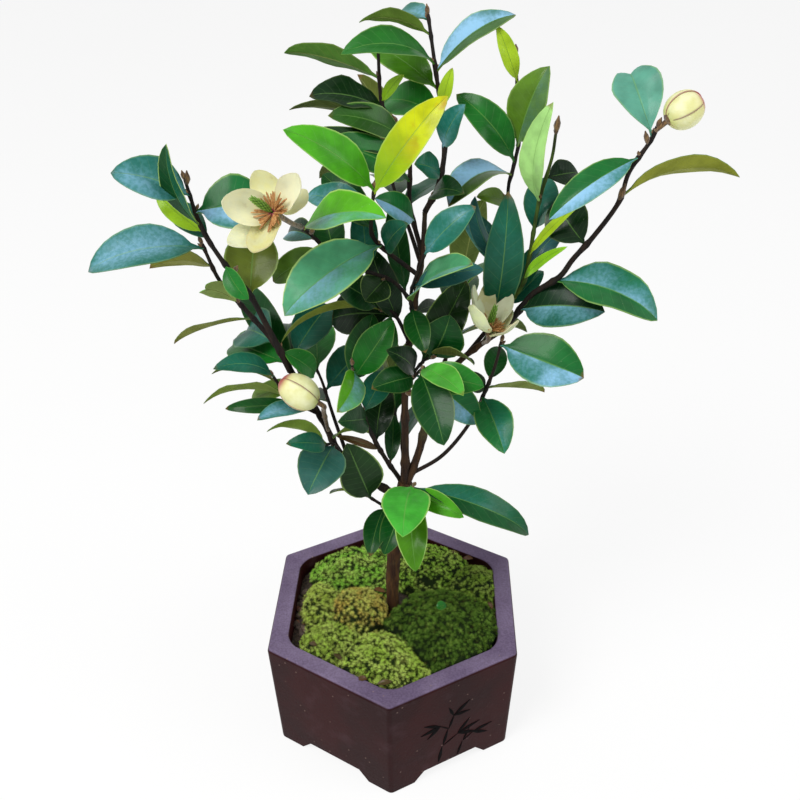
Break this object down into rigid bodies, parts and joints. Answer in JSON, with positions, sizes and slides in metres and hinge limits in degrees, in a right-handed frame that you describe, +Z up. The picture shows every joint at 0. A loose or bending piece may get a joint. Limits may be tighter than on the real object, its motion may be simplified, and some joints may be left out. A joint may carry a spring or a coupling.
{
  "type": "potted banana shrub",
  "caption": "Young banana shrub in bloom, with two cream flowers, two buds and glossy leaves, in a six-sided purple clay pot with small feet and a mossy top.",
  "frame": {"origin": "on the ground, under the middle of the plant's spread; the pot's axis stands 11 mm to its left, at X -0.011, Y 0", "axes": "+Z up; +X to the right as the plant is seen from the front; -Y to the front, where one corner of the pot points"},
  "size_m": [0.325, 0.179, 0.4472],
  "materials": {
    "clay": "smooth unglazed clay with a low sheen",
    "soil": "crumbly",
    "screen_plastic": "matt",
    "moss": "matt tufts",
    "bark": "rough bark",
    "foliage": "glossy leaf",
    "petal": "waxy petal",
    "flower_centre": "soft"
  },
  "bodies": {
    "root": {"pot": "clay", "soil": "soil", "drain_screen": "screen_plastic", "moss_back_left": "moss", "moss_left": "moss", "moss_left_front": "moss", "moss_rust_mound": "moss", "moss_front": "moss", "moss_right_front": "moss", "moss_back_right": "moss", "moss_right": "moss", "trunk": "bark", "stem_centre": "bark", "stem_left": "bark", "stem_right": "bark", "branch_left_upper": "foliage", "branch_left_lower": "foliage", "branch_left_middle": "foliage", "branch_left_back": "foliage", "branch_left_low": "foliage", "branch_inner_left": "foliage", "branch_front": "foliage", "branch_right_low": "foliage", "branch_right_far": "foliage", "branch_right_inner": "foliage", "branch_right_top": "foliage", "branch_top": "foliage", "branch_top_left": "foliage", "branch_centre_upper": "foliage", "branch_flower": "foliage", "branch_centre_right": "foliage", "branch_centre_low": "foliage", "branch_centre_left": "foliage", "branch_low_front": "foliage", "branch_low_left": "foliage", "branch_back_low": "foliage", "branch_back_left": "foliage", "branch_back_right": "foliage", "branch_back_top": "foliage", "flower_left_centre": "flower_centre", "flower_left_tepal_1": "petal", "flower_left_tepal_2": "petal", "flower_left_tepal_3": "petal", "flower_left_tepal_4": "petal", "flower_left_tepal_5": "petal", "flower_left_tepal_6": "petal", "flower_right_centre": "flower_centre", "flower_right_tepal_1": "petal", "flower_right_tepal_2": "petal", "flower_right_tepal_3": "petal", "flower_right_tepal_4": "petal", "flower_right_tepal_5": "petal", "flower_right_tepal_6": "petal", "bud_right": "petal", "bud_left": "petal"}
  },
  "joints": []
}
